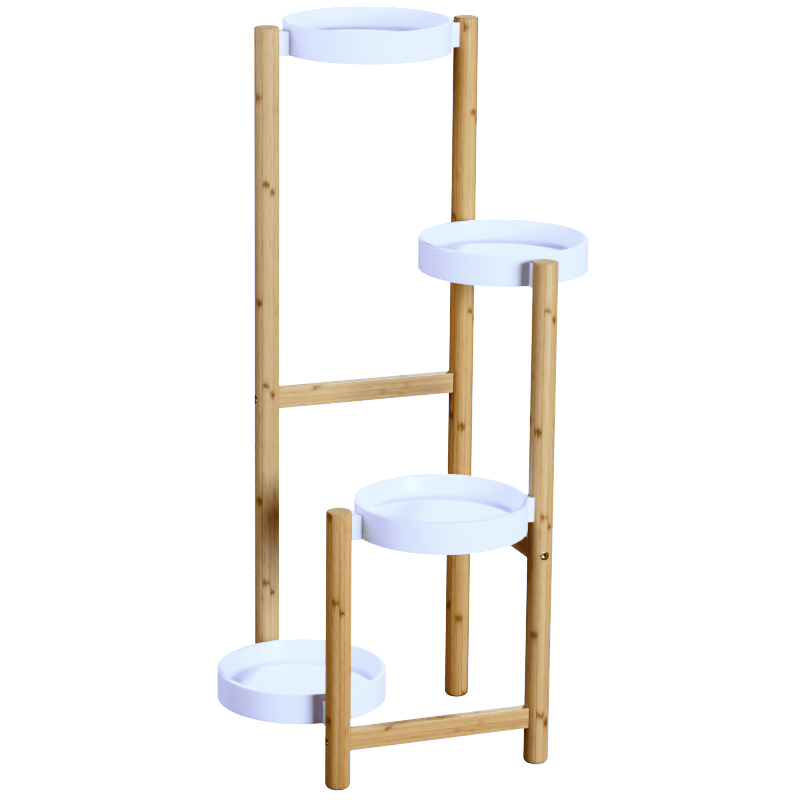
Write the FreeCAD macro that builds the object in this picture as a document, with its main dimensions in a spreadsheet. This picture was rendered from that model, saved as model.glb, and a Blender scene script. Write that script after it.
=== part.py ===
import FreeCAD, Part
import math
import os

import Sketcher

# Four-tier corner plant stand: four round posts of three heights on a square plan, three flat
# rails bolted between them, and four round trays that hang on pegs, one on each side of the
# square, stepping down from the back to the left.
# The origin is on the floor at the centre of the square, +Z up, the front towards -Y.

SIZES = {
    # posts
    "post_diameter": 30.0,
    "tall_post_height": 852.0,  # the two back posts
    "middle_post_height": 608.0,  # front right
    "short_post_height": 336.0,  # front left
    "post_top_bevel": 1.5,
    "post_foot_bevel": 3.5,
    # trays
    "tray_diameter": 200.0,
    "tray_height": 37.0,
    "tray_to_post": 10.0,  # from the tray's skirt to the post beside it
    "rim_rise": 2.5,  # rim above the top of the lower of the tray's two posts
    "low_rim_level": 108.0,  # rim of the lowest tray above the floor
    "tray_wall": 2.5,
    "rim_solid": 4.0,  # depth of the solid rim, where skirt and dish wall part
    "rim_bevel": 1.4,
    "dish_depth": 23.0,
    "dish_slope": 6.5,  # how far the dish wall leans in on its way down
    "rib_count": 8,
    "rib_thickness": 2.0,
    "rib_recess": 3.0,  # ribs stop this far above the skirt's lower edge
    # hanging lugs of the trays
    "lug_height": 29.0,
    "lug_width": 19.0,
    "lug_wall": 2.2,
    "peg_drop": 9.0,  # peg's axis below the lug's top
    "lug_end_wall": 2.8,
    "lug_post_gap": 0.4,
    "slot_gap": 0.3,  # between the peg and the slot, all round
    "slot_mouth_flare": 2.0,
    "slot_mouth_height": 4.0,
    # steel pegs that the trays hang on
    "peg_diameter": 6.0,
    "peg_depth": 13.0,  # in the post
    "peg_reach": 3.8,  # past the lug's end wall
    "peg_tip_gap": 1.0,
    # rails
    "rail_thickness": 15.0,
    "rail_height": 25.0,
    "rail_edge_bevel": 1.2,
    "back_rail_level": 405.0,
    "right_rail_level": 260.0,
    "front_rail_level": 58.5,
    "rail_seat_gap": 0.1,  # saddle end to post
    # bolts and threaded inserts
    "bolt_diameter": 6.0,
    "bolt_length": 35.0,
    "bolt_head_diameter": 10.0,
    "bolt_head_height": 6.0,
    "bolt_head_recess": 2.0,  # head below the post's surface
    "bolt_socket_across_flats": 5.0,
    "bolt_socket_depth": 3.0,
    "bolt_hole_gap": 0.25,
    "counterbore_gap": 0.4,
    "bolt_tip_gap": 1.5,
    "insert_diameter": 8.6,
    "insert_length": 13.0,
    "insert_recess": 1.0,  # below the rail's end
    "thread_gap": 0.05,  # also round what is pressed or screwed into wood
}

# Sizes that follow from the ones above, as text for the bindings.
POST_R = "(Sizes.post_diameter / 2)"
TRAY_R = "(Sizes.tray_diameter / 2)"
POST_AT = f"({TRAY_R} + Sizes.tray_to_post + {POST_R})"  # from the centre plane to a post's axis
RIM_WIDTH = "(2 * Sizes.tray_wall)"
DISH_R = f"({TRAY_R} - {RIM_WIDTH} - Sizes.dish_slope)"
FLOOR_LEVEL = "(Sizes.tray_height - Sizes.dish_depth)"  # above the tray's lower edge
LUG_HALF_WIDTH = "(Sizes.lug_width / 2)"
SADDLE_R = f"({POST_R} + Sizes.lug_post_gap)"
SLOT_R = "(Sizes.peg_diameter / 2 + Sizes.slot_gap)"
PEG_RISE = "(Sizes.lug_height - Sizes.peg_drop)"  # peg's axis above the tray's lower edge
PEG_LENGTH = "(Sizes.peg_depth + Sizes.lug_post_gap + Sizes.lug_end_wall + Sizes.peg_reach)"
HEAD_SEAT = f"({POST_R} - Sizes.bolt_head_recess - Sizes.bolt_head_height)"  # from the post's axis
BOLT_REACH = f"(Sizes.bolt_length - {HEAD_SEAT})"  # the same, on the other side
INSERT_MOUTH = f"({POST_R} + Sizes.rail_seat_gap + Sizes.insert_recess)"
BORE_END = f"(max({BOLT_REACH}; {INSERT_MOUTH} + Sizes.insert_length) + Sizes.bolt_tip_gap)"

# Where the pieces stand: signs of X and Y, and the size that gives the height.
POSTS = {
    "back_left_post": (-1, 1, "tall_post_height"),
    "back_right_post": (1, 1, "tall_post_height"),
    "front_right_post": (1, -1, "middle_post_height"),
    "front_left_post": (-1, -1, "short_post_height"),
}
# Each rail and tray lies along one axis, on the plus or minus side of the square.
RAILS = {
    "back": ("x", 1, "Sizes.back_rail_level"),
    "right": ("y", 1, "Sizes.right_rail_level"),
    "front": ("x", -1, "Sizes.front_rail_level"),
}
TRAYS = {
    "top": ("x", 1, "(Sizes.tall_post_height + Sizes.rim_rise)"),
    "upper": ("y", 1, "(Sizes.middle_post_height + Sizes.rim_rise)"),
    "lower": ("x", -1, "(Sizes.short_post_height + Sizes.rim_rise)"),
    "bottom": ("y", -1, "Sizes.low_rim_level"),
}

UP = FreeCAD.Vector(0, 0, 1)
QUARTER_TURN = FreeCAD.Rotation(UP, 90)
NO_TURN = FreeCAD.Rotation()

doc = FreeCAD.newDocument("PlantStand")
sheet = doc.addObject("Spreadsheet::Sheet", "Sizes")
for row, (alias, size) in enumerate(SIZES.items(), start=1):
    sheet.set(f"A{row}", alias.replace("_", " "))
    sheet.set(f"B{row}", str(size))
    sheet.setAlias(f"B{row}", alias)
doc.recompute()


# ---------------------------------------------------------------- sketching and placing

def new_body(label):
    body = doc.addObject("PartDesign::Body", label)
    body.Label = label
    return body


def new_sketch(body, plane, name, shift=None):
    """Sketch on one of the body's own planes; shift moves its own axes or the plane itself."""
    sketch = body.newObject("Sketcher::SketchObject", name)
    planes = [one for one in body.Origin.OriginFeatures if one.Role == plane]
    sketch.AttachmentSupport = (planes[0], [""])
    sketch.MapMode = "FlatFace"
    for axis, amount in (shift or {}).items():
        sketch.setExpression(f"AttachmentOffset.Base.{axis}", amount)
    return sketch


def bind(sketch, constraint, amount):
    index = sketch.addConstraint(constraint)
    sketch.setExpression(f"Constraints[{index}]", amount)


def pin_point(sketch, line, end, across, up):
    """Hold one point of the sketch at its distances from the sketch's two axes."""
    if across == "0":
        sketch.addConstraint(Sketcher.Constraint("PointOnObject", line, end, -2))
    else:
        bind(sketch, Sketcher.Constraint("DistanceX", -1, 1, line, end, 1.0), across)
    if up == "0":
        sketch.addConstraint(Sketcher.Constraint("PointOnObject", line, end, -1))
    else:
        bind(sketch, Sketcher.Constraint("DistanceY", -1, 1, line, end, 1.0), up)


def draw_outline(sketch, corners):
    """Closed outline of straight lines through corners given as (across, up)."""
    count = len(corners)
    first = sketch.GeometryCount
    ring = [
        FreeCAD.Vector(math.cos(2 * math.pi * i / count), math.sin(2 * math.pi * i / count), 0)
        for i in range(count)
    ]
    for i in range(count):
        sketch.addGeometry(Part.LineSegment(ring[i], ring[(i + 1) % count]), False)
    for i, (across, up) in enumerate(corners):
        following = first + (i + 1) % count
        sketch.addConstraint(Sketcher.Constraint("Coincident", first + i, 2, following, 1))
        pin_point(sketch, first + i, 1, across, up)


def draw_circle(sketch, radius, across="0", up="0"):
    index = sketch.addGeometry(Part.Circle(FreeCAD.Vector(0, 0, 0), UP, 1.0), False)
    pin_point(sketch, index, 3, across, up)
    bind(sketch, Sketcher.Constraint("Radius", index, 1.0), radius)


def draw_hexagon(sketch, across_flats):
    """Regular hexagon about the sketch's origin, two of its flats level."""
    half = f"{across_flats} / 2"
    corner = f"{across_flats} / sqrt(3)"
    side = f"{across_flats} / (2 * sqrt(3))"
    draw_outline(sketch, [
        (corner, "0"),
        (side, half),
        (f"-{side}", half),
        (f"-{corner}", "0"),
        (f"-{side}", f"-{half}"),
        (side, f"-{half}"),
    ])


def add_pad(body, sketch, length, name):
    pad = body.newObject("PartDesign::Pad", name)
    pad.Profile = sketch
    pad.setExpression("Length", length)
    return pad


def add_pocket(body, sketch, length, name, forward):
    """Cut; forward is along the sketch's normal, and otherwise against it."""
    pocket = body.newObject("PartDesign::Pocket", name)
    pocket.Profile = sketch
    pocket.setExpression("Length", length)
    pocket.Reversed = forward
    return pocket


def add_turned(body, kind, sketch, axis, name):
    turned = body.newObject(f"PartDesign::{kind}", name)
    turned.Profile = sketch
    turned.ReferenceAxis = (sketch, [axis])
    turned.Angle = 360
    return turned


def add_bevel(body, feature, size, name, chosen):
    """Take the edge off wherever the test picks one on the body so far."""
    doc.recompute()
    edges = [f"Edge{i}" for i, edge in enumerate(feature.Shape.Edges, start=1) if chosen(edge)]
    bevel = body.newObject("PartDesign::Chamfer", name)
    bevel.Base = (feature, edges)
    bevel.setExpression("Size", size)
    doc.recompute()
    return bevel


def is_circle(edge, radius, level):
    """True for a full circle about the body's own upright axis."""
    if not isinstance(edge.Curve, Part.Circle):
        return False
    same_radius = math.isclose(edge.Curve.Radius, radius, abs_tol=1e-4)
    return same_radius and math.isclose(edge.Curve.Center.z, level, abs_tol=1e-4)


def place(piece, across, back, up, turn=NO_TURN):
    piece.Placement = FreeCAD.Placement(FreeCAD.Vector(0, 0, 0), turn)
    piece.setExpression("Placement.Base.x", across)
    piece.setExpression("Placement.Base.y", back)
    piece.setExpression("Placement.Base.z", up)


def place_on_side(piece, axis, side, up):
    """Stand a piece midway between two posts, its length along the given axis."""
    if axis == "x":
        place(piece, "0", f"{side} * {POST_AT}", up)
    else:
        place(piece, f"{side} * {POST_AT}", "0", up, QUARTER_TURN)


def meets(post, axis, side):
    """Sign of the direction along axis from the post to the rail or tray, or 0 if apart."""
    across, back, _ = POSTS[post]
    if axis == "x" and back == side:
        return -across
    if axis == "y" and across == side:
        return -back
    return 0


def group(label, pieces):
    """Like fasteners as one sub-part of separate solids."""
    compound = doc.addObject("Part::Compound", label)
    compound.Label = label
    compound.Links = pieces
    return compound


# ---------------------------------------------------------------- posts

def cut_bolt_hole(post, name, axis, outward, level):
    """Counterbored hole right through the post; the head sits on the outward side."""
    sketch = new_sketch(post, "XZ_Plane" if axis == "x" else "YZ_Plane", f"{name}_sketch",
                        {"y": level})
    beyond = "Sizes.post_diameter"
    bore = "(Sizes.bolt_head_diameter / 2 + Sizes.counterbore_gap)"
    hole = "(Sizes.bolt_diameter / 2 + Sizes.bolt_hole_gap)"
    draw_outline(sketch, [
        (f"{outward} * {beyond}", "0"),
        (f"{outward} * {beyond}", bore),
        (f"{outward} * {HEAD_SEAT}", bore),
        (f"{outward} * {HEAD_SEAT}", hole),
        (f"-{outward} * {beyond}", hole),
        (f"-{outward} * {beyond}", "0"),
    ])
    add_turned(post, "Groove", sketch, "H_Axis", name)


def cut_peg_hole(post, name, axis, inward, level):
    """Blind hole for a peg, on the side that the tray hangs on."""
    sketch = new_sketch(post, "XZ_Plane" if axis == "x" else "YZ_Plane", f"{name}_sketch",
                        {"y": level})
    beyond = "Sizes.post_diameter"
    hole = "(Sizes.peg_diameter / 2 + Sizes.thread_gap)"
    end = f"({POST_R} - Sizes.peg_depth - Sizes.peg_tip_gap)"
    draw_outline(sketch, [
        (f"{inward} * {beyond}", "0"),
        (f"{inward} * {beyond}", hole),
        (f"{inward} * {end}", hole),
        (f"{inward} * {end}", "0"),
    ])
    add_turned(post, "Groove", sketch, "H_Axis", name)


def make_post(label):
    """Round bamboo post with bevelled ends, drilled across for its bolts and pegs."""
    across, back, height = POSTS[label]
    post = new_body(label)
    section = new_sketch(post, "XY_Plane", "post_section")
    draw_circle(section, POST_R)
    shaft = add_pad(post, section, f"Sizes.{height}", "post_shaft")
    radius = SIZES["post_diameter"] / 2
    top = add_bevel(post, shaft, "Sizes.post_top_bevel", "top_bevel",
                    lambda edge: is_circle(edge, radius, SIZES[height]))
    add_bevel(post, top, "Sizes.post_foot_bevel", "foot_bevel",
              lambda edge: is_circle(edge, radius, 0))
    for rail, (axis, side, level) in RAILS.items():
        inward = meets(label, axis, side)
        if inward:
            cut_bolt_hole(post, f"{rail}_bolt_hole", axis, -inward, level)
    for tray, (axis, side, rim) in TRAYS.items():
        inward = meets(label, axis, side)
        if inward:
            level = f"{rim} - Sizes.tray_height + {PEG_RISE}"
            cut_peg_hole(post, f"{tray}_peg_hole", axis, inward, level)
    place(post, f"{across} * {POST_AT}", f"{back} * {POST_AT}", "0")
    return post


# ---------------------------------------------------------------- rails

def make_rail(name, axis, side, level):
    """Flat bamboo bar with its long edges eased, its ends hollowed to fit round the posts."""
    rail = new_body(f"{name}_rail")
    section = new_sketch(rail, "YZ_Plane", "rail_section", {"z": f"-{POST_AT}"})
    half_width = "Sizes.rail_thickness / 2"
    half_height = "Sizes.rail_height / 2"
    draw_outline(section, [
        (half_width, half_height),
        (f"-{half_width}", half_height),
        (f"-{half_width}", f"-{half_height}"),
        (half_width, f"-{half_height}"),
    ])
    bar = add_pad(rail, section, f"2 * {POST_AT}", "rail_bar")
    add_bevel(rail, bar, "Sizes.rail_edge_bevel", "long_edges",
              lambda edge: edge.Length > SIZES["tray_diameter"])
    saddles = new_sketch(rail, "XY_Plane", "saddle_sketch", {"z": f"-{half_height}"})
    bores = new_sketch(rail, "XZ_Plane", "insert_bore_sketch")
    bore = "(Sizes.insert_diameter / 2 + Sizes.thread_gap)"
    for end in (1, -1):
        draw_circle(saddles, f"({POST_R} + Sizes.rail_seat_gap)", f"{end} * {POST_AT}")
        bottom = f"{end} * ({POST_AT} - {BORE_END})"
        draw_outline(bores, [
            (f"{end} * {POST_AT}", "0"),
            (f"{end} * {POST_AT}", bore),
            (bottom, bore),
            (bottom, "0"),
        ])
    add_pocket(rail, saddles, "Sizes.rail_height", "saddle_ends", forward=True)
    add_turned(rail, "Groove", bores, "H_Axis", "insert_bores")
    place_on_side(rail, axis, side, level)
    return rail


# ---------------------------------------------------------------- bolts, inserts, pegs

def fastener_turn(axis, sign):
    """Turn that lays a fastener's own +Z along the plus or minus side of an axis."""
    along = FreeCAD.Vector(sign, 0, 0) if axis == "x" else FreeCAD.Vector(0, sign, 0)
    return FreeCAD.Rotation(UP, along)


def place_by_post(piece, axis, side, end, distance, level, pointing):
    """Lay a fastener on the line through two posts, at a distance from one post's axis."""
    along = f"{end} * ({POST_AT} {distance})"
    beside = f"{side} * {POST_AT}"
    turn = fastener_turn(axis, pointing)
    if axis == "x":
        place(piece, along, beside, level, turn)
    else:
        place(piece, beside, along, level, turn)


def make_bolt(label):
    """Socket-head bolt; its own origin is under the head, the shank down -Z."""
    bolt = new_body(label)
    half = new_sketch(bolt, "XZ_Plane", "bolt_half_section")
    head = "Sizes.bolt_head_diameter / 2"
    shank = "Sizes.bolt_diameter / 2"
    draw_outline(half, [
        ("0", "-Sizes.bolt_length"),
        (shank, "-Sizes.bolt_length"),
        (shank, "0"),
        (head, "0"),
        (head, "Sizes.bolt_head_height"),
        ("0", "Sizes.bolt_head_height"),
    ])
    add_turned(bolt, "Revolution", half, "V_Axis", "bolt_blank")
    socket = new_sketch(bolt, "XY_Plane", "socket_sketch", {"z": "Sizes.bolt_head_height"})
    draw_hexagon(socket, "Sizes.bolt_socket_across_flats")
    add_pocket(bolt, socket, "Sizes.bolt_socket_depth", "socket", forward=False)
    return bolt


def make_insert(label):
    """Threaded insert: a plain sleeve whose own origin is at its mouth, the rest down -Z."""
    insert = new_body(label)
    half = new_sketch(insert, "XZ_Plane", "insert_half_section")
    inner = "(Sizes.bolt_diameter / 2 + Sizes.thread_gap)"
    outer = "Sizes.insert_diameter / 2"
    draw_outline(half, [
        (inner, "0"),
        (outer, "0"),
        (outer, "-Sizes.insert_length"),
        (inner, "-Sizes.insert_length"),
    ])
    add_turned(insert, "Revolution", half, "V_Axis", "sleeve")
    return insert


def make_peg(label):
    """Plain round steel peg; its own origin is at the end in the post, the rest up +Z."""
    peg = new_body(label)
    section = new_sketch(peg, "XY_Plane", "peg_section")
    draw_circle(section, "Sizes.peg_diameter / 2")
    add_pad(peg, section, PEG_LENGTH, "peg_bar")
    return peg


# ---------------------------------------------------------------- trays

def draw_lug_hollow(sketch):
    """Room behind the lug's end wall: arcs along the skirt and the post, straight sides."""
    half = f"({LUG_HALF_WIDTH} - Sizes.lug_wall)"
    skirt = SIZES["tray_diameter"] / 2
    far = skirt + SIZES["tray_to_post"] + SIZES["post_diameter"] / 2
    reach = SIZES["post_diameter"] / 2 + SIZES["lug_post_gap"] + SIZES["lug_end_wall"]
    width = SIZES["lug_width"] / 2 - SIZES["lug_wall"]
    near_turn = math.asin(width / skirt)
    far_turn = math.asin(width / reach)
    post_axis = FreeCAD.Vector(far, 0, 0)
    near_edge = skirt * math.cos(near_turn)
    far_edge = far - reach * math.cos(far_turn)
    near = sketch.addGeometry(Part.ArcOfCircle(
        Part.Circle(FreeCAD.Vector(0, 0, 0), UP, skirt), -near_turn, near_turn), False)
    beyond = sketch.addGeometry(Part.ArcOfCircle(
        Part.Circle(post_axis, UP, reach), math.pi - far_turn, math.pi + far_turn), False)
    left = sketch.addGeometry(Part.LineSegment(
        FreeCAD.Vector(near_edge, width, 0), FreeCAD.Vector(far_edge, width, 0)), False)
    right = sketch.addGeometry(Part.LineSegment(
        FreeCAD.Vector(near_edge, -width, 0), FreeCAD.Vector(far_edge, -width, 0)), False)
    for side, start, end, offset in ((left, 2, 1, half), (right, 1, 2, f"-{half}")):
        sketch.addConstraint(Sketcher.Constraint("Coincident", near, start, side, 1))
        sketch.addConstraint(Sketcher.Constraint("Coincident", beyond, end, side, 2))
        sketch.addConstraint(Sketcher.Constraint("Horizontal", side))
        bind(sketch, Sketcher.Constraint("DistanceY", -1, 1, side, 1, 1.0), offset)
    sketch.addConstraint(Sketcher.Constraint("Coincident", near, 3, -1, 1))
    pin_point(sketch, beyond, 3, POST_AT, "0")
    bind(sketch, Sketcher.Constraint("Radius", near, skirt), TRAY_R)
    bind(sketch, Sketcher.Constraint("Radius", beyond, reach),
         f"{SADDLE_R} + Sizes.lug_end_wall")


def add_lugs(tray):
    """Two hollow lugs, open below: each drops over a peg and closes round the post."""
    block = new_sketch(tray, "XY_Plane", "lug_sketch")
    root = f"({TRAY_R} - Sizes.tray_wall / 2)"
    tip = f"({POST_AT} - {POST_R} / 2)"
    draw_outline(block, [
        (root, LUG_HALF_WIDTH),
        (root, f"-{LUG_HALF_WIDTH}"),
        (tip, f"-{LUG_HALF_WIDTH}"),
        (tip, LUG_HALF_WIDTH),
    ])
    lug = add_pad(tray, block, "Sizes.lug_height", "lug_block")
    saddle = new_sketch(tray, "XY_Plane", "lug_saddle_sketch")
    draw_circle(saddle, SADDLE_R, POST_AT)
    end_cut = add_pocket(tray, saddle, "Sizes.tray_height", "lug_saddle", forward=True)
    room = new_sketch(tray, "XY_Plane", "lug_hollow_sketch")
    draw_lug_hollow(room)
    hollow = add_pocket(tray, room, "Sizes.lug_height - Sizes.lug_wall", "lug_hollow",
                        forward=True)
    slot_cuts = []
    half_mouth = f"({SLOT_R} + Sizes.slot_mouth_flare)"
    slot = new_sketch(tray, "YZ_Plane", "slot_sketch", {"z": f"{TRAY_R} + Sizes.tray_wall"})
    draw_outline(slot, [
        (half_mouth, "0"),
        (SLOT_R, "Sizes.slot_mouth_height"),
        (SLOT_R, PEG_RISE),
        (f"-{SLOT_R}", PEG_RISE),
        (f"-{SLOT_R}", "Sizes.slot_mouth_height"),
        (f"-{half_mouth}", "0"),
    ])
    slot_cuts.append(add_pocket(tray, slot, "Sizes.post_diameter", "slot", forward=True))
    seat = new_sketch(tray, "YZ_Plane", "slot_end_sketch", {"z": f"{TRAY_R} + Sizes.tray_wall"})
    draw_circle(seat, SLOT_R, "0", PEG_RISE)
    slot_cuts.append(add_pocket(tray, seat, "Sizes.post_diameter", "slot_end", forward=True))
    pair = tray.newObject("PartDesign::PolarPattern", "lug_pair")
    pair.Originals = [lug, end_cut, hollow] + slot_cuts
    pair.Axis = (block, ["N_Axis"])
    pair.Angle = 360
    pair.Occurrences = 2
    tray.Tip = pair


def add_ribs(tray):
    """Radial ribs that stiffen the dish from below."""
    plate = new_sketch(tray, "XY_Plane", "rib_sketch", {"z": "Sizes.rib_recess"})
    half = "(Sizes.rib_thickness / 2)"
    draw_outline(plate, [("0", half), ("0", f"-{half}"), (DISH_R, f"-{half}"), (DISH_R, half)])
    height = f"{FLOOR_LEVEL} - Sizes.tray_wall / 2 - Sizes.rib_recess"
    rib = add_pad(tray, plate, height, "rib")
    spokes = tray.newObject("PartDesign::PolarPattern", "ribs")
    spokes.Originals = [rib]
    spokes.Axis = (plate, ["N_Axis"])
    spokes.Angle = 360
    spokes.setExpression("Occurrences", "Sizes.rib_count")
    tray.Tip = spokes


def make_tray(name, axis, side, rim):
    """Moulded tray: a skirt and a sloping dish wall that meet at a thick rim, hollow below."""
    tray = new_body(f"{name}_tray")
    half = new_sketch(tray, "XZ_Plane", "tray_half_section")
    wall = "Sizes.tray_wall"
    top = "Sizes.tray_height"
    under = f"({FLOOR_LEVEL} - {wall})"
    draw_outline(half, [
        ("0", FLOOR_LEVEL),
        (DISH_R, FLOOR_LEVEL),
        (f"({TRAY_R} - {RIM_WIDTH})", top),
        (TRAY_R, top),
        (TRAY_R, "0"),
        (f"({TRAY_R} - {wall})", "0"),
        (f"({TRAY_R} - {wall})", f"({top} - Sizes.rim_solid)"),
        (f"({DISH_R} + {wall})", under),
        ("0", under),
    ])
    shell = add_turned(tray, "Revolution", half, "V_Axis", "shell")
    add_bevel(tray, shell, "Sizes.rim_bevel", "rim_edge",
              lambda edge: is_circle(edge, SIZES["tray_diameter"] / 2, SIZES["tray_height"]))
    add_ribs(tray)
    add_lugs(tray)
    place_on_side(tray, axis, side, f"{rim} - Sizes.tray_height")
    return tray


# ---------------------------------------------------------------- the whole stand

subparts = []
for post in POSTS:
    subparts.append(make_post(post))
for name, (axis, side, level) in RAILS.items():
    subparts.append(make_rail(name, axis, side, level))
    bolts = []
    inserts = []
    for end, where in ((1, "plus_end"), (-1, "minus_end")):
        bolt = make_bolt(f"{name}_bolt_{where}")
        place_by_post(bolt, axis, side, end, f"+ {HEAD_SEAT}", level, end)
        bolts.append(bolt)
        insert = make_insert(f"{name}_insert_{where}")
        place_by_post(insert, axis, side, end, f"- {INSERT_MOUTH}", level, end)
        inserts.append(insert)
    subparts.append(group(f"{name}_rail_bolts", bolts))
    subparts.append(group(f"{name}_rail_inserts", inserts))
for name, (axis, side, rim) in TRAYS.items():
    subparts.append(make_tray(name, axis, side, rim))
    pegs = []
    for end, where in ((1, "plus_end"), (-1, "minus_end")):
        peg = make_peg(f"{name}_peg_{where}")
        level = f"{rim} - Sizes.tray_height + {PEG_RISE}"
        place_by_post(peg, axis, side, end, f"- ({POST_R} - Sizes.peg_depth)", level, -end)
        pegs.append(peg)
    subparts.append(group(f"{name}_tray_pegs", pegs))
doc.recompute()

for item in doc.Objects:
    if "Invalid" in item.State or "Error" in item.State:
        raise RuntimeError(f"{item.Label} failed: {item.State}")
for piece in subparts:
    if piece.Shape.isNull() or not piece.Shape.isValid():
        raise RuntimeError(f"{piece.Label} has no valid shape")

os.makedirs("parts", exist_ok=True)
for piece in subparts:
    piece.Shape.exportStep(f"parts/{piece.Label}.step")
    print(f"{piece.Label}: {len(piece.Shape.Solids)} solids, {piece.Shape.Volume / 1000:.1f} cm3")
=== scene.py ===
import math

import bmesh
import bpy
from mathutils import Matrix, Vector


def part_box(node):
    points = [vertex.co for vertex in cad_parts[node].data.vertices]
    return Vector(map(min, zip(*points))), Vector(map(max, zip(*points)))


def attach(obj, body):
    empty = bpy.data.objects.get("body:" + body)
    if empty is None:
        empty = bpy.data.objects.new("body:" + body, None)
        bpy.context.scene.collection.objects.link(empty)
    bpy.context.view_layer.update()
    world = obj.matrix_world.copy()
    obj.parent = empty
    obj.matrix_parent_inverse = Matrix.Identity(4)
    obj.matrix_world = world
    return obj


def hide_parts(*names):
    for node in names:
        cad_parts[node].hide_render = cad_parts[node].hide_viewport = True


# Four-tier plant stand: laminated bamboo posts and rails, glossy white hanging trays.
# Metres throughout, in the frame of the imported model: +Z up, -Y to the front.

mm = 0.001
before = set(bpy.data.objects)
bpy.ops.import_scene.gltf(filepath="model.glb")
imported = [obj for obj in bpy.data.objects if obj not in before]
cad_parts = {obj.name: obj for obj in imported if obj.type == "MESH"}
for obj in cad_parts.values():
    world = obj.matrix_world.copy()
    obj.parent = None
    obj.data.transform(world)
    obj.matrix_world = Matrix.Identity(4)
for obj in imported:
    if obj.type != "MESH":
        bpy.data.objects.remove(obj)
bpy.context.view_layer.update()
print("frame loaded:", len(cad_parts), "nodes")

standFrame = "stand_frame"
posts = ["back_left_post", "back_right_post", "front_right_post", "front_left_post"]
rails = {"back": "x", "right": "y", "front": "x"}  # the axis that each rail lies along
trays = {"top": "x", "upper": "y", "lower": "x", "bottom": "y"}
sideOf = {"x": 0, "y": 1}
directions = {"x": Vector((1, 0, 0)), "y": Vector((0, 1, 0))}


def camelName(node):
    first, *rest = node.split("_")
    return first + "".join(word.capitalize() for word in rest)


def shifted(point, side, value):
    # The same point with one coordinate changed.
    moved = point.copy()
    moved[side] = value
    return moved


# Node trees

class Graph:
    # A node tree with short calls for adding and joining nodes.

    def __init__(self, tree):
        self.tree = tree

    def add(self, kind, settings=None, **inputs):
        # Inputs go by their names, or as in0, in1 and so on by their numbers.
        node = self.tree.nodes.new(kind)
        for key, value in (settings or {}).items():
            setattr(node, key, value)
        for key, value in inputs.items():
            self.feed(node, key, value)
        return node

    def feed(self, node, key, value):
        socket = node.inputs[int(key[2:]) if key.startswith("in") else key]
        if isinstance(value, bpy.types.NodeSocket):
            self.tree.links.new(value, socket)
        else:
            socket.default_value = value

    def math(self, operation, a, b=0.0, c=0.0, clamp=False):
        node = self.add("ShaderNodeMath", {"operation": operation, "use_clamp": clamp},
                        in0=a, in1=b, in2=c)
        return node.outputs[0]

    def vector(self, operation, a, b):
        node = self.add("ShaderNodeVectorMath", {"operation": operation}, in0=a, in1=b)
        return node.outputs["Vector"]

    def weighted(self, start, values, weights):
        # Start, plus each named value times its weight.
        total = start
        for name, weight in weights.items():
            total = self.math("ADD", total, self.math("MULTIPLY", values[name], weight))
        return total

    def noise(self, vector, scale, detail=2.0, roughness=0.5, distortion=0.0):
        node = self.add("ShaderNodeTexNoise", {"noise_dimensions": "3D"},
                        Vector=vector, Scale=scale, Detail=detail, Roughness=roughness,
                        Distortion=distortion)
        return node.outputs["Fac"]

    def streaks(self, vector, look):
        # Noise drawn out along Z; its look is the stretch, scale, detail and roughness.
        stretch, *rest = look
        return self.noise(self.vector("MULTIPLY", vector, (1.0, 1.0, stretch)), *rest)

    def swing(self, value, amount):
        # Noise as a change to either side of nothing.
        return self.math("MULTIPLY", self.math("SUBTRACT", value, 0.5), amount)

    def ramp(self, value, low, high, start=0.0, end=1.0):
        node = self.add("ShaderNodeMapRange", {"interpolation_type": "SMOOTHSTEP"},
                        in0=value, in1=low, in2=high, in3=start, in4=end)
        return node.outputs[0]

    def mixColor(self, amount, a, b):
        node = self.add("ShaderNodeMix", {"data_type": "RGBA"}, in0=amount, in6=a, in7=b)
        return node.outputs[2]

    def bump(self, height, strength, depth):
        node = self.add("ShaderNodeBump", Height=height, Strength=strength, Distance=depth)
        return node.outputs[0]


def shaderGroup(name, inputs, outputs):
    # Empty shader group with its sockets; gives the graph, its inputs and its outputs.
    tree = bpy.data.node_groups.new(name, "ShaderNodeTree")
    for socketName, kind, value in inputs:
        socket = tree.interface.new_socket(name=socketName, in_out="INPUT", socket_type=kind)
        if value is not None:
            socket.default_value = value
    for socketName, kind in outputs:
        tree.interface.new_socket(name=socketName, in_out="OUTPUT", socket_type=kind)
    graph = Graph(tree)
    return graph, graph.add("NodeGroupInput").outputs, graph.add("NodeGroupOutput")


def newMaterial(name):
    material = bpy.data.materials.new(name)
    material.use_nodes = True
    return material, Graph(material.node_tree), material.node_tree.nodes["Principled BSDF"]


def setConstants(node, constants):
    for socket, value in constants.items():
        node.inputs[socket].default_value = value


# Mesh tools

def arc(centreAcross, centreUp, radius, start, end, steps):
    # Points of an arc in a section, as (across, height); degrees.
    points = []
    for i in range(steps + 1):
        angle = math.radians(start + (end - start) * i / steps)
        points.append((centreAcross + radius * math.cos(angle),
                       centreUp + radius * math.sin(angle)))
    return points


def meshFrom(name, shape):
    mesh = bpy.data.meshes.new(name)
    shape.to_mesh(mesh)
    shape.free()
    return mesh


def turnedMesh(name, profile, steps, closed=False):
    # A half section turned about Z: from the axis round to the axis, or closed on itself.
    shape = bmesh.new()
    rings = []
    for radius, height in profile:
        count = 1 if radius == 0 else steps
        rings.append([
            shape.verts.new((radius * math.cos(2 * math.pi * i / steps),
                             radius * math.sin(2 * math.pi * i / steps), height))
            for i in range(count)
        ])
    after = rings[1:] + (rings[:1] if closed else [])
    for ring, following in zip(rings, after):
        for i in range(steps):
            j = (i + 1) % steps
            if len(ring) == 1:
                shape.faces.new((ring[0], following[j], following[i]))
            elif len(following) == 1:
                shape.faces.new((ring[i], ring[j], following[0]))
            else:
                shape.faces.new((ring[i], ring[j], following[j], following[i]))
    return meshFrom(name, shape)


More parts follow.
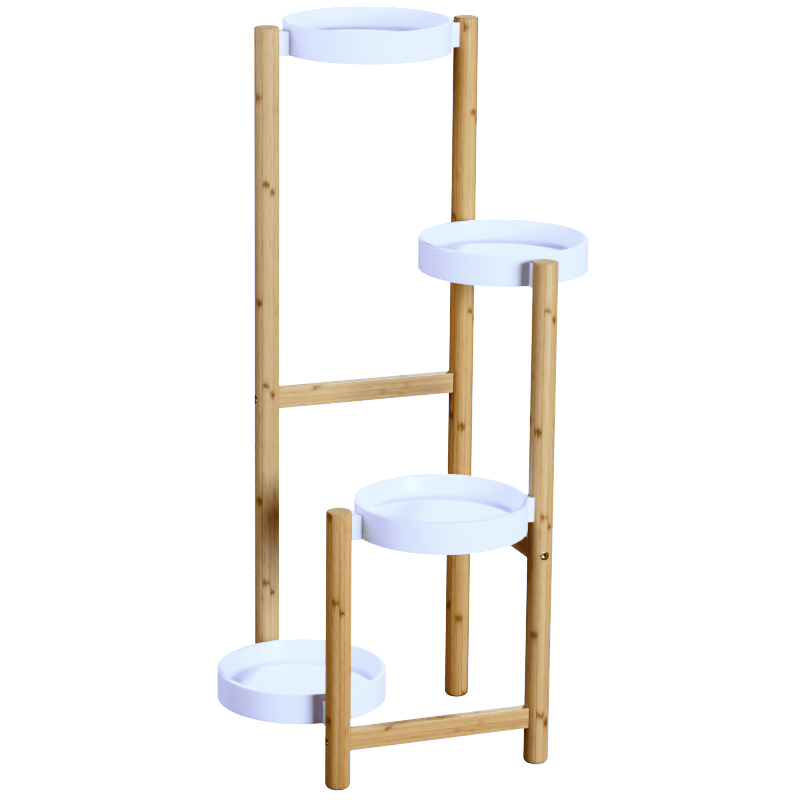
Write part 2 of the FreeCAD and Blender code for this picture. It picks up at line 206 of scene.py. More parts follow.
def newPiece(name, data):
    piece = bpy.data.objects.new(name, data)
    bpy.context.scene.collection.objects.link(piece)
    return piece


def prism(name, near, far):
    # A closed solid between two like outlines.
    shape = bmesh.new()
    first = [shape.verts.new(point) for point in near]
    last = [shape.verts.new(point) for point in far]
    shape.faces.new(first)
    shape.faces.new(last)
    for i in range(len(first)):
        j = (i + 1) % len(first)
        shape.faces.new((first[i], first[j], last[j], last[i]))
    bmesh.ops.recalc_face_normals(shape, faces=shape.faces[:])
    return newPiece(name, meshFrom(name, shape))


def rod(name, radius, start, end, steps=48):
    # Plain round cutter from one point to another.
    start, end = Vector(start), Vector(end)
    length = (end - start).length
    mesh = turnedMesh(name, [(0, 0), (radius, 0), (radius, length), (0, length)], steps)
    turn = (end - start).to_track_quat("Z", "Y").to_matrix().to_4x4()
    mesh.transform(Matrix.Translation(start) @ turn)
    return newPiece(name, mesh)


def settle(piece):
    # Turn what the modifiers show into the piece's own mesh.
    evaluated = piece.evaluated_get(bpy.context.evaluated_depsgraph_get())
    mesh = bpy.data.meshes.new_from_object(evaluated)
    piece.modifiers.clear()
    old = piece.data
    piece.data = mesh
    bpy.data.meshes.remove(old)
    return piece


def discard(piece):
    mesh = piece.data
    bpy.data.objects.remove(piece)
    if mesh.users == 0:
        bpy.data.meshes.remove(mesh)


def carve(piece, tools, operation="DIFFERENCE"):
    for tool in tools:
        change = piece.modifiers.new("carve", "BOOLEAN")
        change.operation = operation
        change.solver = "EXACT"
        change.object = tool
    settle(piece)
    for tool in tools:
        discard(tool)


def easeEdges(piece, width, segments, angle):
    bevel = piece.modifiers.new("easeEdges", "BEVEL")
    bevel.width = width
    bevel.segments = segments
    bevel.limit_method = "ANGLE"
    bevel.angle_limit = math.radians(angle)
    bevel.use_clamp_overlap = True
    settle(piece)


def smoothShade(mesh, angle=30.0):
    mesh.shade_smooth()
    mesh.set_sharp_from_angle(angle=math.radians(angle))


def finishPiece(piece, material, body, node, angle=30.0):
    piece.data.materials.clear()
    piece.data.materials.append(material)
    smoothShade(piece.data, angle)
    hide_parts(node)
    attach(piece, body)


# Studio

studio = {
    "cameraPlace": (-1.47707, -3.77781, 1.51340),
    "cameraRight": (0.932253, -0.361681, 0.009555),
    "cameraUp": (0.087154, 0.250119, 0.964284),
    "lens": 160.975,
    "shift": (-0.002847, 0.024127),
    "clipEnd": 200.0,
    "floorSize": 60.0,
    "floorColor": (0.17, 0.17, 0.175, 1),
    "floorRoughness": 0.9,
    "worldColor": (0.96, 0.96, 1.0, 1),
    "worldLight": 0.14,
    "seenWhite": 3.0,  # floor and background, for the camera alone
    # tone curves of a contrasty, cool product photo, for red, green and blue:
    # light over the white level in, display out, both linear
    "whiteLevel": 2.0,
    "toneCurves": [
        [(0.08, 0.10), (0.155, 0.246), (0.20, 0.337), (0.257, 0.479), (0.30, 0.571),
         (0.355, 0.644), (0.43, 0.70), (0.54, 0.765), (0.75, 0.80), (1.0, 0.86)],
        [(0.03, 0.01), (0.065, 0.044), (0.105, 0.115), (0.156, 0.25), (0.20, 0.365),
         (0.25, 0.472), (0.31, 0.585), (0.375, 0.72), (0.46, 0.79), (0.57, 0.863),
         (0.75, 0.90), (1.0, 0.95)],
        [(0.05, 0.01), (0.065, 0.024), (0.092, 0.089), (0.123, 0.175), (0.156, 0.227),
         (0.183, 0.301), (0.25, 0.56), (0.30, 0.753), (0.42, 0.95), (0.60, 0.975)],
    ],
    "lights": [  # name, place, aimed at, size across and up, power, colour
        ("keyLight", (1.312, -3.67, 1.4), (0.0, 0.0, 0.45), (1.8, 1.4), 226.0,
         (1.0, 1.0, 0.98)),
        ("leftLight", (-1.52, 0.417, 1.237), (0.0, 0.0, 0.6), (1.6, 1.2), 25.5,
         (1.0, 0.99, 0.98)),
        ("backLight", (1.868, 2.539, 2.963), (0.0, 0.0, 0.5), (0.5, 0.5), 205.3,
         (0.98, 0.99, 1.0)),
    ],
}


def cameraSees(graph, surface, soft, bright):
    # The camera alone sees the bright shader; light in the scene meets the soft one.
    path = graph.add("ShaderNodeLightPath")
    mix = graph.add("ShaderNodeMixShader", in0=path.outputs["Is Camera Ray"],
                    in1=soft.outputs[0], in2=bright.outputs[0])
    graph.feed(surface, "Surface", mix.outputs[0])


def setTone(view):
    view.view_transform = "Standard"
    view.look = "None"
    view.use_curve_mapping = True
    mapping = view.curve_mapping
    mapping.white_level = (studio["whiteLevel"],) * 3
    for curve, spots in zip(mapping.curves, studio["toneCurves"]):
        for spot in spots:
            curve.points.new(*spot)
    mapping.update()


def placeCamera(scene):
    camera = newPiece("photoCamera", bpy.data.cameras.new("photoCamera"))
    right = Vector(studio["cameraRight"]).normalized()
    up = Vector(studio["cameraUp"])
    up = (up - up.dot(right) * right).normalized()
    turn = Matrix((right, up, right.cross(up))).transposed().to_4x4()
    camera.matrix_world = Matrix.Translation(studio["cameraPlace"]) @ turn
    camera.data.lens = studio["lens"]
    camera.data.shift_x, camera.data.shift_y = studio["shift"]
    camera.data.clip_end = studio["clipEnd"]
    scene.camera = camera


def lightWorld(scene):
    world = bpy.data.worlds.new("studioWorld")
    scene.world = world
    world.use_nodes = True
    world.node_tree.nodes.clear()
    graph = Graph(world.node_tree)
    soft = graph.add("ShaderNodeBackground", Color=studio["worldColor"],
                     Strength=studio["worldLight"])
    bright = graph.add("ShaderNodeBackground", Color=(1, 1, 1, 1),
                       Strength=studio["seenWhite"])
    cameraSees(graph, graph.add("ShaderNodeOutputWorld"), soft, bright)


def placeLights():
    for name, place, aim, (across, high), power, color in studio["lights"]:
        light = bpy.data.lights.new(name, "AREA")
        light.shape = "RECTANGLE"
        light.size = across
        light.size_y = high
        light.energy = power
        light.color = color
        lamp = newPiece(name, light)
        lamp.location = place
        lamp.rotation_euler = (Vector(aim) - Vector(place)).to_track_quat("-Z", "Y").to_euler()


def layFloor():
    half = studio["floorSize"] / 2
    mesh = bpy.data.meshes.new("studioFloor")
    mesh.from_pydata([(-half, -half, 0), (half, -half, 0), (half, half, 0), (-half, half, 0)],
                     [], [(0, 1, 2, 3)])
    floor = newPiece("studioFloor", mesh)
    paint, graph, matte = newMaterial("studioFloor")
    setConstants(matte, {"Base Color": studio["floorColor"],
                         "Roughness": studio["floorRoughness"]})
    bright = graph.add("ShaderNodeEmission", Strength=studio["seenWhite"])
    cameraSees(graph, graph.tree.nodes["Material Output"], matte, bright)
    mesh.materials.append(paint)


def buildStudio():
    scene = bpy.context.scene
    setTone(scene.view_settings)
    placeCamera(scene)
    lightWorld(scene)
    placeLights()
    layFloor()
    print("studio built")


# Bamboo

grainSpec = {
    "layerShift": 0.37,  # of a strip's width, from one layer to the next
    # glue lines fade out between these shares of a layer and of a strip
    "seamInLayer": (0.012, 0.055),
    "seamInStrip": (0.004, 0.018),
    # streaks: stretch along the grain, scale, detail and roughness
    "sag": (0.30, 120.0, 1.0, 0.5),
    "fray": (0.10, 420.0, 3.0, 0.6),
    "speckle": (0.35, 800.0, 2.0, 0.5),
    "broad": (0.012, 330.0, 3.0, 0.55),
    "fine": (0.010, 1500.0, 3.0, 0.6),
    "dash": (0.030, 2100.0, 1.0, 0.4),
    "dashEdge": (0.60, 0.74),
    "stripSlide": 3.0,  # along the grain, so that no two strips have the same fibres
    # growth nodes, as shares of their spacing
    "sagSize": 0.05,
    "fraySize": 0.075,
    "markReach": (0.002, 0.026),
    "haloReach": (0.0, 0.060),
    # how strong a growth node's mark is: value from and to, strength from and to
    "markInStrip": (0.02, 0.14, 0.45, 1.0),
    "markInLayer": (0.0, 0.20, 0.70, 1.0),
    "markByStrip": (0.30, 0.75, 0.25, 1.0),
    "markBySpeckle": (0.35, 0.55, 0.45, 1.0),
    "stripTone": 0.62,
    "broadTone": 1.5,
    "fineTone": 0.8,
    "darkening": {"dash": 0.45, "halo": 0.22, "mark": 0.88, "seam": 0.35},
    "leastRoughness": 0.40,
    "roughness": {"fine": 0.16, "dash": 0.15},
    "relief": {"fine": 0.5, "dash": -0.8, "seam": -0.9, "mark": 0.7},
}


def makeGrainGroup():
    # Laminated bamboo with its grain along Z: strips, growth nodes, fibres and pores.
    spec = grainSpec
    graph, given, out = shaderGroup(
        "bambooGrain",
        [("Vector", "NodeSocketVector", None),
         ("Strip Width", "NodeSocketFloat", 0.018),
         ("Strip Thickness", "NodeSocketFloat", 0.006),
         ("Node Spacing", "NodeSocketFloat", 0.24),
         ("Light", "NodeSocketColor", (0.70, 0.48, 0.25, 1)),
         ("Dark", "NodeSocketColor", (0.50, 0.29, 0.12, 1)),
         ("Mark", "NodeSocketColor", (0.25, 0.11, 0.03, 1))],
        [("Color", "NodeSocketColor"),
         ("Roughness", "NodeSocketFloat"),
         ("Height", "NodeSocketFloat")])
    vector = given["Vector"]
    x, y, z = graph.add("ShaderNodeSeparateXYZ", in0=vector).outputs
    layer = graph.math("DIVIDE", x, given["Strip Thickness"])
    layerIndex = graph.math("FLOOR", layer)
    strip = graph.math("ADD", graph.math("DIVIDE", y, given["Strip Width"]),
                       graph.math("MULTIPLY", layerIndex, spec["layerShift"]))
    stripIndex = graph.math("FLOOR", strip)
    cell = graph.add("ShaderNodeCombineXYZ", in0=layerIndex, in1=stripIndex, in2=0.5)
    luck = graph.add("ShaderNodeTexWhiteNoise", {"noise_dimensions": "3D"},
                     Vector=cell.outputs[0]).outputs["Color"]
    stripTone, stripHue, stripPhase = graph.add("ShaderNodeSeparateColor", in0=luck).outputs

    # glue lines between strips
    inLayer = graph.math("PINGPONG", layer, 0.5)
    inStrip = graph.math("PINGPONG", strip, 0.5)
    seam = graph.math("MAXIMUM", graph.ramp(inLayer, *spec["seamInLayer"], 1.0, 0.0),
                      graph.ramp(inStrip, *spec["seamInStrip"], 1.0, 0.0))

    # growth nodes: a frayed dark tuft across a strip, at its own heights
    sag = graph.streaks(vector, spec["sag"])
    fray = graph.streaks(vector, spec["fray"])
    climb = graph.math("ADD", graph.math("DIVIDE", z, given["Node Spacing"]), stripPhase)
    climb = graph.math("ADD", climb, graph.swing(sag, spec["sagSize"]))
    fromNode = graph.math("ADD", graph.math("PINGPONG", climb, 0.5),
                          graph.swing(fray, spec["fraySize"]))
    strength = graph.math("MULTIPLY", graph.ramp(inStrip, *spec["markInStrip"]),
                          graph.ramp(inLayer, *spec["markInLayer"]))
    strength = graph.math("MULTIPLY", graph.ramp(stripHue, *spec["markByStrip"]), strength)
    speckle = graph.ramp(graph.streaks(vector, spec["speckle"]), *spec["markBySpeckle"])
    mark = graph.math("MULTIPLY", graph.ramp(fromNode, *spec["markReach"], 1.0, 0.0), strength)
    mark = graph.math("MULTIPLY", mark, speckle)
    halo = graph.math("MULTIPLY", graph.ramp(fromNode, *spec["haloReach"], 1.0, 0.0), strength)

    # fibres: long streaks, and short dark dashes of the bundles
    slide = graph.vector("MULTIPLY", luck, (0.0, 0.0, spec["stripSlide"]))
    slid = graph.vector("ADD", vector, slide)
    broad = graph.streaks(slid, spec["broad"])
    fine = graph.streaks(slid, spec["fine"])
    dash = graph.ramp(graph.streaks(slid, spec["dash"]), *spec["dashEdge"])

    tone = graph.math("MULTIPLY", stripTone, spec["stripTone"])
    tone = graph.math("ADD", tone, graph.swing(broad, spec["broadTone"]))
    tone = graph.math("ADD", tone, graph.swing(fine, spec["fineTone"]), clamp=True)
    color = graph.mixColor(tone, given["Light"], given["Dark"])
    masks = {"fine": fine, "dash": dash, "halo": halo, "mark": mark, "seam": seam}
    for name, share in spec["darkening"].items():
        amount = graph.math("MULTIPLY", masks[name], share)
        color = graph.mixColor(amount, color, given["Mark"])
    graph.feed(out, "Color", color)
    graph.feed(out, "Roughness",
               graph.weighted(spec["leastRoughness"], masks, spec["roughness"]))
    graph.feed(out, "Height", graph.weighted(0.0, masks, spec["relief"]))
    return graph.tree


endGrainSpec = {
    "bundleScale": 1100.0,
    "bundleStretch": 0.02,
    "bundleEdge": (0.16, 0.36),
    "blotch": (260.0, 3.0),  # scale and detail
    "layerShade": 0.25,
    "blotchShade": 0.35,
    "dotShade": 0.55,
}


def makeEndGrainGroup():
    # Cut end of the bamboo: greyed and pinkish, dotted with the bundles' dark ends.
    spec = endGrainSpec
    graph, given, out = shaderGroup(
        "bambooEndGrain",
        [("Vector", "NodeSocketVector", None),
         ("Strip Thickness", "NodeSocketFloat", 0.006),
         ("Base", "NodeSocketColor", (0.42, 0.31, 0.22, 1)),
         ("Dots", "NodeSocketColor", (0.17, 0.10, 0.06, 1))],
        [("Color", "NodeSocketColor")])
    vector = given["Vector"]
    flat = graph.vector("MULTIPLY", vector, (1.0, 1.0, spec["bundleStretch"]))
    bundles = graph.add("ShaderNodeTexVoronoi", {"feature": "F1"},
                        Vector=flat, Scale=spec["bundleScale"])
    dots = graph.ramp(bundles.outputs["Distance"], *spec["bundleEdge"], 1.0, 0.0)
    across = graph.add("ShaderNodeSeparateXYZ", in0=vector).outputs[0]
    layer = graph.math("FLOOR", graph.math("DIVIDE", across, given["Strip Thickness"]))
    cell = graph.add("ShaderNodeCombineXYZ", in0=layer)
    luck = graph.add("ShaderNodeTexWhiteNoise", {"noise_dimensions": "3D"},
                     Vector=cell.outputs[0])
    blotch = graph.noise(vector, *spec["blotch"])
    shade = graph.math("ADD", graph.math("MULTIPLY", luck.outputs["Value"], spec["layerShade"]),
                       graph.math("MULTIPLY", blotch, spec["blotchShade"]))
    color = graph.mixColor(shade, given["Base"], given["Dots"])
    amount = graph.math("MULTIPLY", dots, spec["dotShade"])
    graph.feed(out, "Color", graph.mixColor(amount, color, given["Dots"]))
    return graph.tree


grainGroup = makeGrainGroup()
endGrainGroup = makeEndGrainGroup()

bambooLooks = {
    "tones": {  # light and dark strips; each piece is cut from its own board
        "pale": ((0.50, 0.365, 0.24, 1), (0.37, 0.245, 0.155, 1)),
        "middle": ((0.505, 0.355, 0.225, 1), (0.37, 0.235, 0.135, 1)),
        "golden": ((0.49, 0.325, 0.19, 1), (0.34, 0.195, 0.095, 1)),
    },
    "mark": (0.15, 0.075, 0.03, 1),
    "endBase": (0.38, 0.28, 0.20, 1),
    "endDots": (0.18, 0.11, 0.07, 1),
    "endFacing": (0.70, 0.95),  # upward part of the normal, from side to cut end
    "endRoughness": 0.8,
    "stripThickness": 6.5 * mm,
    "stripWidth": 19.0 * mm,
    "nodeSpacing": 0.245,
    "bumpStrength": 0.5,
    "bumpDepth": 0.25 * mm,
    "coat": 0.12,
    "shader": {"IOR": 1.48, "Specular IOR Level": 0.30, "Coat Roughness": 0.28},
}


def makeBamboo(node, tone, centre, turn, grainAxis):
    # centre and turn place the strips in the piece; the grain runs along grainAxis.
    looks = bambooLooks
    material, graph, shader = newMaterial("bamboo" + node.title().replace("_", ""))
    where = graph.add("ShaderNodeTexCoord")
    rotation = {
        "z": (0.0, 0.0, turn),
        "x": (0.0, math.pi / 2, 0.0),
        "y": (math.pi / 2, 0.0, 0.0),
    }[grainAxis]
    lay = graph.add("ShaderNodeMapping", {"vector_type": "TEXTURE"},
                    Vector=where.outputs["Object"], Location=centre, Rotation=rotation)
    light, dark = looks["tones"][tone]
    grain = graph.add("ShaderNodeGroup", {"node_tree": grainGroup}, Vector=lay.outputs[0])
    setConstants(grain, {
        "Strip Width": looks["stripWidth"], "Strip Thickness": looks["stripThickness"],
        "Node Spacing": looks["nodeSpacing"], "Light": light, "Dark": dark,
        "Mark": looks["mark"]})
    color = grain.outputs["Color"]
    rough = grain.outputs["Roughness"]
    shader.inputs["Coat Weight"].default_value = looks["coat"]
    if grainAxis == "z":
        ends = graph.add("ShaderNodeGroup", {"node_tree": endGrainGroup}, Vector=lay.outputs[0])
        setConstants(ends, {"Strip Thickness": looks["stripThickness"],
                            "Base": looks["endBase"], "Dots": looks["endDots"]})
        upright = graph.add("ShaderNodeSeparateXYZ", in0=where.outputs["Normal"]).outputs[2]
        cut = graph.ramp(graph.math("ABSOLUTE", upright), *looks["endFacing"])
        color = graph.mixColor(cut, color, ends.outputs["Color"])
        rough = graph.math("MAXIMUM", rough, graph.math("MULTIPLY", cut, looks["endRoughness"]))
        graph.feed(shader, "Coat Weight", graph.ramp(cut, 0.0, 1.0, looks["coat"], 0.0))
    graph.feed(shader, "Base Color", color)
    graph.feed(shader, "Roughness", rough)
    graph.feed(shader, "Normal",
               graph.bump(grain.outputs["Height"], looks["bumpStrength"], looks["bumpDepth"]))
    setConstants(shader, looks["shader"])
    return material


# Plastic and metals

handlingSpec = {
    "cloud": (4.0, 0.6),  # detail and roughness
    "cloudEdge": (0.35, 0.75),
    "scratchStretch": 0.06,
    "scratch": (700.0, 2.0, 0.5, 0.6),  # scale, detail, roughness and distortion
    "scratchEdge": (0.66, 0.78),
    "scratchShare": 0.35,
    "grain": (420.0, 2.0),  # scale and detail
}


def makeHandlingGroup():
    # What handling leaves: faint scuffs and dust, as a roughness change and a mask.
    spec = handlingSpec
    graph, given, out = shaderGroup(
        "handlingMarks",
        [("Vector", "NodeSocketVector", None),
         ("Size", "NodeSocketFloat", 0.02),
         ("Roughness Low", "NodeSocketFloat", 0.1),
         ("Roughness High", "NodeSocketFloat", 0.2)],
        [("Roughness", "NodeSocketFloat"), ("Mask", "NodeSocketFloat"),
         ("Height", "NodeSocketFloat")])
    vector = given["Vector"]
    cloud = graph.noise(vector, graph.math("DIVIDE", 1.0, given["Size"]), *spec["cloud"])
    drawn = graph.vector("MULTIPLY", vector, (1.0, spec["scratchStretch"], 1.0))
    scratch = graph.ramp(graph.noise(drawn, *spec["scratch"]), *spec["scratchEdge"])
    mask = graph.math("MAXIMUM", graph.ramp(cloud, *spec["cloudEdge"]),
                      graph.math("MULTIPLY", scratch, spec["scratchShare"]))
    span = graph.math("SUBTRACT", given["Roughness High"], given["Roughness Low"])
    graph.feed(out, "Mask", mask)
    graph.feed(out, "Roughness", graph.math("MULTIPLY_ADD", mask, span, given["Roughness Low"]))
    graph.feed(out, "Height", graph.noise(vector, *spec["grain"]))
    return graph.tree


handlingGroup = makeHandlingGroup()


def addMarks(graph, where, size, roughness):
    # Handling marks, from their size and the surface's range of roughness.
    marks = graph.add("ShaderNodeGroup", {"node_tree": handlingGroup}, Vector=where)
    setConstants(marks, {"Size": size, "Roughness Low": roughness[0],
                         "Roughness High": roughness[1]})
    return marks.outputs


plasticLooks = {
    "color": (0.79, 0.84, 0.95, 1),
    "tint": (0.75, 0.80, 0.93, 1),
    "tintShare": 0.35,
    "markSize": 45.0 * mm,
    "roughness": (0.34, 0.46),
    "wave": (90.0, 1.0),  # scale and detail
    "waveStrength": 0.25,
    "waveDepth": 0.05 * mm,
    "shader": {"IOR": 1.50, "Specular IOR Level": 0.28},
}


def makePlastic():
    looks = plasticLooks
    material, graph, shader = newMaterial("whitePlastic")
    where = graph.add("ShaderNodeTexCoord").outputs["Object"]
    marks = addMarks(graph, where, looks["markSize"], looks["roughness"])
    amount = graph.math("MULTIPLY", marks["Mask"], looks["tintShare"])
    graph.feed(shader, "Base Color", graph.mixColor(amount, looks["color"], looks["tint"]))
    graph.feed(shader, "Roughness", marks["Roughness"])
    graph.feed(shader, "Normal", graph.bump(graph.noise(where, *looks["wave"]),
                                            looks["waveStrength"], looks["waveDepth"]))
    setConstants(shader, looks["shader"])
    return material


metalLooks = {
    "zincSteel": {"color": (0.46, 0.42, 0.26, 1), "worn": (0.30, 0.27, 0.16, 1),
                  "roughness": (0.24, 0.42)},
    "plainBrass": {"color": (0.70, 0.50, 0.22, 1), "worn": (0.50, 0.34, 0.14, 1),
                   "roughness": (0.28, 0.45)},
    "markSize": 4.0 * mm,
    "bumpStrength": 0.2,
    "bumpDepth": 0.03 * mm,
}


def makeMetal(name):
    looks = metalLooks[name]
    material, graph, shader = newMaterial(name)
    where = graph.add("ShaderNodeTexCoord").outputs["Object"]
    marks = addMarks(graph, where, metalLooks["markSize"], looks["roughness"])
    graph.feed(shader, "Base Color", graph.mixColor(marks["Mask"], looks["color"], looks["worn"]))
    graph.feed(shader, "Roughness", marks["Roughness"])
    graph.feed(shader, "Normal", graph.bump(marks["Height"], metalLooks["bumpStrength"],
                                            metalLooks["bumpDepth"]))
    shader.inputs["Metallic"].default_value = 1.0
    return material


whitePlastic = makePlastic()
zincSteel = makeMetal("zincSteel")
plainBrass = makeMetal("plainBrass")
print("materials built")


# Posts

joinery = {
    "counterbore": 5.4 * mm,
    "boltHole": 3.25 * mm,
    "headHeight": 6.0 * mm,
    "pegHole": 3.05 * mm,
    "pegTipGap": 1.0 * mm,
    "insertBore": 4.35 * mm,
    "overlap": 1.0 * mm,  # how far one cutter runs into the next
}

postSpec = {
    "steps": 96,
    "topRound": 2.0 * mm,
    "footRound": 6.0 * mm,
    "roundSteps": 6,
    "endRing": 0.4 * mm,  # flat ring inside the rounds
    "holeEase": 0.35 * mm,
    "easeSteps": 2,
    "easeAngle": 50,
    "looks": {  # tone, turn of the strips in radians, shift of the growth nodes up the post
        "back_left_post": ("pale", 0.35, 0.0),
        "back_right_post": ("golden", 1.1, 0.071),
        "front_right_post": ("middle", 0.62, 0.129),
        "front_left_post": ("golden", 0.15, 0.052),
    },
}


def holesIn(post):
    # Cutters for the bolts and pegs that meet a post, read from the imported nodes.
    low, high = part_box(post)
    axis = (low + high) / 2
    radius = (high.x - low.x) / 2
    pairs = [(f"{rail}_rail_bolts", along) for rail, along in rails.items()]
    pairs += [(f"{tray}_tray_pegs", along) for tray, along in trays.items()]
    tools = []
    for node, along in pairs:
        start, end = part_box(node)
        side = sideOf[along]
        middle = (start + end) / 2
        if abs(middle[1 - side] - axis[1 - side]) > radius:
            continue
        outward = 1 if axis[side] > 0 else -1
        tip = (end if outward > 0 else start)[side]
        centre = Vector((axis.x, axis.y, middle.z))
        inside = shifted(centre, side, axis[side] - outward * 2 * radius)
        outside = shifted(centre, side, axis[side] + outward * 2 * radius)
        if node.endswith("bolts"):
            seat = tip - outward * joinery["headHeight"]
            past = seat + outward * joinery["overlap"]
            tools.append(rod("counterbore", joinery["counterbore"],
                             shifted(centre, side, seat), outside))
            tools.append(rod("boltHole", joinery["boltHole"], inside,
                             shifted(centre, side, past)))
        else:
            bottom = tip + outward * joinery["pegTipGap"]
            tools.append(rod("pegHole", joinery["pegHole"],
                             shifted(centre, side, bottom), inside))
    return tools


def buildPosts():
    top, foot = postSpec["topRound"], postSpec["footRound"]
    for post in posts:
        low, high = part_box(post)
        centre = (low + high) / 2
        radius = (high.x - low.x) / 2
        height = high.z - low.z
        flat = radius - max(top, foot) - postSpec["endRing"]
        profile = [(0, 0), (flat, 0)]
        profile += arc(radius - foot, foot, foot, -90, 0, postSpec["roundSteps"])
        profile += arc(radius - top, height - top, top, 0, 90, postSpec["roundSteps"])
        profile += [(flat, height), (0, height)]
        mesh = turnedMesh(camelName(post), profile, postSpec["steps"])
        mesh.transform(Matrix.Translation((centre.x, centre.y, low.z)))
        piece = newPiece(camelName(post), mesh)
        carve(piece, holesIn(post))
        easeEdges(piece, postSpec["holeEase"], postSpec["easeSteps"], postSpec["easeAngle"])
        tone, turn, shift = postSpec["looks"][post]
        bamboo = makeBamboo(post, tone, (centre.x, centre.y, shift), turn, "z")
        finishPiece(piece, bamboo, standFrame, post)
    print("posts built")


# Rails

railSpec = {
    "tones": {"back": "middle", "right": "golden", "front": "golden"},
    "seatGap": 0.1 * mm,
    "edgeRound": 1.4 * mm,
    "roundSteps": 4,
    "rowsUp": 6,
    "columnsAcross": 8,
    "boreReach": 30.6 * mm,  # from the post's axis
}


def railMesh(name, halfWidth, halfHeight, reach, saddle):
    # A bar along X between posts whose axes are at plus and minus reach. It is built of
    # stations across its width, with rounded edges, and its ends follow the posts.
    ease, rows, columns = railSpec["edgeRound"], railSpec["rowsUp"], railSpec["columnsAcross"]
    corner = arc(halfWidth - ease, halfHeight - ease, ease, 0, 90, railSpec["roundSteps"])
    edge, top = corner[-1]
    flat = [(edge * (2 * k / columns - 1), top) for k in range(1, columns)]
    stations = [(-across, up) for across, up in corner] + flat + corner[::-1]
    shape = bmesh.new()
    plus, minus = [
        [
            [shape.verts.new((end * (reach - math.sqrt(saddle ** 2 - across ** 2)), across,
                              -up + 2 * up * k / rows)) for k in range(rows + 1)]
            for across, up in stations
        ]
        for end in (1, -1)
    ]
    last = len(stations) - 1
    for a in range(last):
        b = a + 1
        for k in range(rows):
            shape.faces.new((plus[a][k], plus[b][k], plus[b][k + 1], plus[a][k + 1]))
            shape.faces.new((minus[a][k], minus[a][k + 1], minus[b][k + 1], minus[b][k]))
        shape.faces.new((minus[a][-1], plus[a][-1], plus[b][-1], minus[b][-1]))
        shape.faces.new((minus[a][0], minus[b][0], plus[b][0], plus[a][0]))
    for a in (0, last):
        for k in range(rows):
            shape.faces.new((minus[a][k], plus[a][k], plus[a][k + 1], minus[a][k + 1]))
    bmesh.ops.recalc_face_normals(shape, faces=shape.faces[:])
    return meshFrom(name, shape)


def buildRails():
    low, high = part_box(posts[0])
    saddle = (high.x - low.x) / 2 + railSpec["seatGap"]
    reach = abs(low.x + high.x) / 2
    for rail, along in rails.items():
        node = f"{rail}_rail"
        side = sideOf[along]
        low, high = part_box(node)
        centre = (low + high) / 2
        mesh = railMesh(camelName(node), (high[1 - side] - low[1 - side]) / 2,
                        (high.z - low.z) / 2, reach, saddle)
        place = Matrix.Translation(centre)
        if along == "y":
            place = place @ Matrix.Rotation(math.pi / 2, 4, "Z")
        mesh.transform(place)
        piece = newPiece(camelName(node), mesh)
        carve(piece, [
            rod("insertBore", joinery["insertBore"], shifted(centre, side, sign * reach),
                shifted(centre, side, sign * (reach - railSpec["boreReach"])))
            for sign in (1, -1)
        ])
        bamboo = makeBamboo(node, railSpec["tones"][rail], tuple(centre), 0.0, along)
        finishPiece(piece, bamboo, standFrame, node)
    print("rails built")


# Geometry trees

def geometryTree(name, inputs):
    # Empty geometry tree with its sockets; gives the graph and its inputs.
    tree = bpy.data.node_groups.new(name, "GeometryNodeTree")
    for socketName, kind in [("Geometry", "NodeSocketGeometry")] + inputs:
        tree.interface.new_socket(name=socketName, in_out="INPUT", socket_type=kind)
    tree.interface.new_socket(name="Geometry", in_out="OUTPUT",
                              socket_type="NodeSocketGeometry")
    graph = Graph(tree)
    return graph, graph.add("NodeGroupInput").outputs


def endTree(graph, points, model, rotation, material):
    # Copies of the model on the points, made real and given the material.
    copies = graph.add("GeometryNodeInstanceOnPoints", Points=points, Instance=model,
                       Rotation=rotation)
    real = graph.add("GeometryNodeRealizeInstances", in0=copies.outputs[0])
    painted = graph.add("GeometryNodeSetMaterial", in0=real.outputs[0], Material=material)
    graph.add("NodeGroupOutput", Geometry=painted.outputs[0])
    return graph.tree


def runTree(name, tree, values):
    # Make a piece whose mesh is what a geometry tree gives for these inputs.
    piece = newPiece(name, bpy.data.meshes.new(name))
    modifier = piece.modifiers.new(tree.name, "NODES")
    modifier.node_group = tree
    for item in tree.interface.items_tree:
        if item.item_type == "SOCKET" and item.in_out == "INPUT" and item.name in values:
            modifier[item.identifier] = values[item.name]
    return settle(piece)


# Bolts, inserts and pegs

boltSpec = {
    "headRadius": 5.0 * mm,
    "headRound": 0.7 * mm,
    "headSteps": 4,
    "seatEase": 0.3 * mm,
    "crownRadius": 3.6 * mm,
    "socketFlats": 5.0 * mm,
    "socketDepth": 3.0 * mm,
    "mouthRadii": (2.6 * mm, 3.25 * mm),
    "mouthDepth": 0.5 * mm,
    "mouthRise": 0.15 * mm,
    "shankRadius": 3.0 * mm,
    "tipEase": 0.8 * mm,
    "length": 35.0 * mm,
    "steps": 48,
}


def makeBolt():
    # Socket-head bolt along Z: seat of the head at zero, shank below.
    spec = boltSpec
    head, high, ease = spec["headRadius"], joinery["headHeight"], spec["headRound"]
    shank, length = spec["shankRadius"], spec["length"]
    profile = [(0, -length), (shank - spec["tipEase"], -length),
               (shank, -length + spec["tipEase"]), (shank, 0),
               (head - spec["seatEase"], 0), (head, spec["seatEase"])]
    profile += arc(head - ease, high - ease, ease, 0, 90, spec["headSteps"])
    profile += [(spec["crownRadius"], high), (0, high)]
    bolt = newPiece("boltModel", turnedMesh("boltModel", profile, spec["steps"]))

    floor = high - spec["socketDepth"]
    above = high + joinery["overlap"]
    corner = spec["socketFlats"] / math.sqrt(3)
    socket = turnedMesh("socketCutter", [(0, floor), (corner, floor), (corner, above),
                                         (0, above)], 6)
    narrow, wide = spec["mouthRadii"]
    low, rise = high - spec["mouthDepth"], high + spec["mouthRise"]
    mouth = turnedMesh("socketMouth", [(0, low), (narrow, low), (wide, rise), (0, rise)],
                       spec["steps"])
    carve(bolt, [newPiece("socketCutter", socket), newPiece("socketMouth", mouth)])
    return bolt


